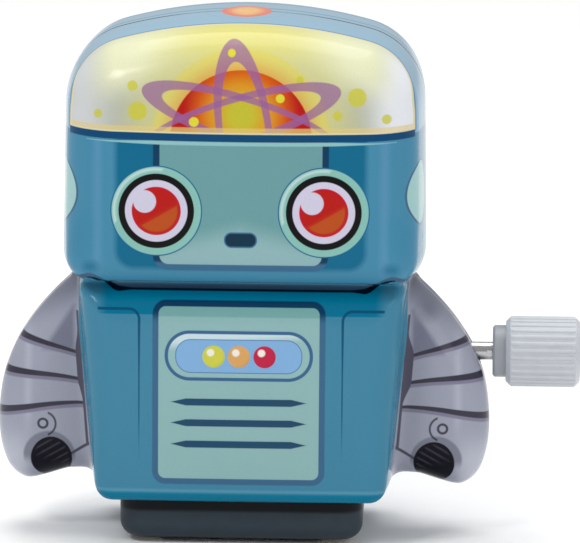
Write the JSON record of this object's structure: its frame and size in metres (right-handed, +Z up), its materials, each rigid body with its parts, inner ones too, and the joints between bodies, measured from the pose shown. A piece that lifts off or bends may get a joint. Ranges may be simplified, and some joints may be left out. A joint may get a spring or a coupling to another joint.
{
  "type": "tin wind-up robot",
  "caption": "Printed tin wind-up toy robot: a square head and body stamped in two halves, side arms, a winding knob, and a plastic base with hidden wheels.",
  "frame": {"origin": "middle of the base's flat underside, on the robot's middle plane; the tyres stand 0.5 mm below it", "axes": "+Z up, the face looks along -Y, and +X points out along the winding arbor towards the knob"},
  "size_m": [0.0709, 0.03, 0.064],
  "materials": {
    "printed_tin": "gloss",
    "base_plastic": "satin",
    "knob_plastic": "satin",
    "zinc_screw": "satin",
    "plated_steel": "satin",
    "bright_steel": "polished",
    "brass": "satin",
    "spring_steel": "satin",
    "gear_plastic": "matte",
    "wheel_plastic": "matte",
    "tyre_rubber": "matte"
  },
  "bodies": {
    "chassis": {"front_shell": "printed_tin", "back_shell": "printed_tin", "base_tray": "base_plastic", "base_screws": "zinc_screw", "left_plate": "plated_steel", "right_plate": "plated_steel", "frame_pillars": "bright_steel", "mainspring": "spring_steel"},
    "winder": {"winding_arbor": "bright_steel", "winding_knob": "knob_plastic", "spring_hub": "brass", "great_wheel": "brass"},
    "slip_gear": {"slip_arbor": "bright_steel", "slip_pinion": "gear_plastic", "intermediate_wheel": "gear_plastic"},
    "drive": {"drive_axle": "bright_steel", "drive_pinion": "gear_plastic", "drive_wheels": "wheel_plastic", "drive_tyres": "tyre_rubber"},
    "governor": {"governor_arbor": "bright_steel", "governor_pinion": "gear_plastic", "star_wheel": "brass"},
    "rocker": {"verge_staff": "bright_steel", "verge": "plated_steel", "verge_pins": "bright_steel"},
    "front_roller": {"front_axle": "bright_steel", "front_wheels": "wheel_plastic"}
  },
  "joints": [
    {"name": "knob_spin", "type": "hinge", "parent": "chassis", "child": "winder", "pos_m": [0, 0, 0.022], "axis": [1, 0, 0], "range_deg": [-1890, 0], "deforming": ["mainspring"]},
    {"name": "slip_spin", "type": "hinge", "parent": "chassis", "child": "slip_gear", "pos_m": [0, -0.00112, 0.01081], "axis": [1, 0, 0], "range_deg": [0, 7560]},
    {"name": "drive_spin", "type": "hinge", "parent": "chassis", "child": "drive", "pos_m": [0, 0.0038, 0.004], "axis": [1, 0, 0], "range_deg": [-18900, 0]},
    {"name": "governor_spin", "type": "hinge", "parent": "chassis", "child": "governor", "pos_m": [0, 0.00629, 0.0138], "axis": [1, 0, 0], "range_deg": [-22680, 0]},
    {"name": "verge_rock", "type": "hinge", "parent": "chassis", "child": "rocker", "pos_m": [0, 0.00919, 0.00901], "axis": [1, 0, 0], "range_deg": [-5, 5]},
    {"name": "front_spin", "type": "hinge", "parent": "chassis", "child": "front_roller", "pos_m": [0, -0.0052, 0.0029], "axis": [1, 0, 0], "continuous": true}
  ],
  "couplings": [
    {"joint": "slip_spin", "follows": "knob_spin", "ratio": -4},
    {"joint": "drive_spin", "follows": "knob_spin", "ratio": 10},
    {"joint": "governor_spin", "follows": "knob_spin", "ratio": 12}
  ]
}
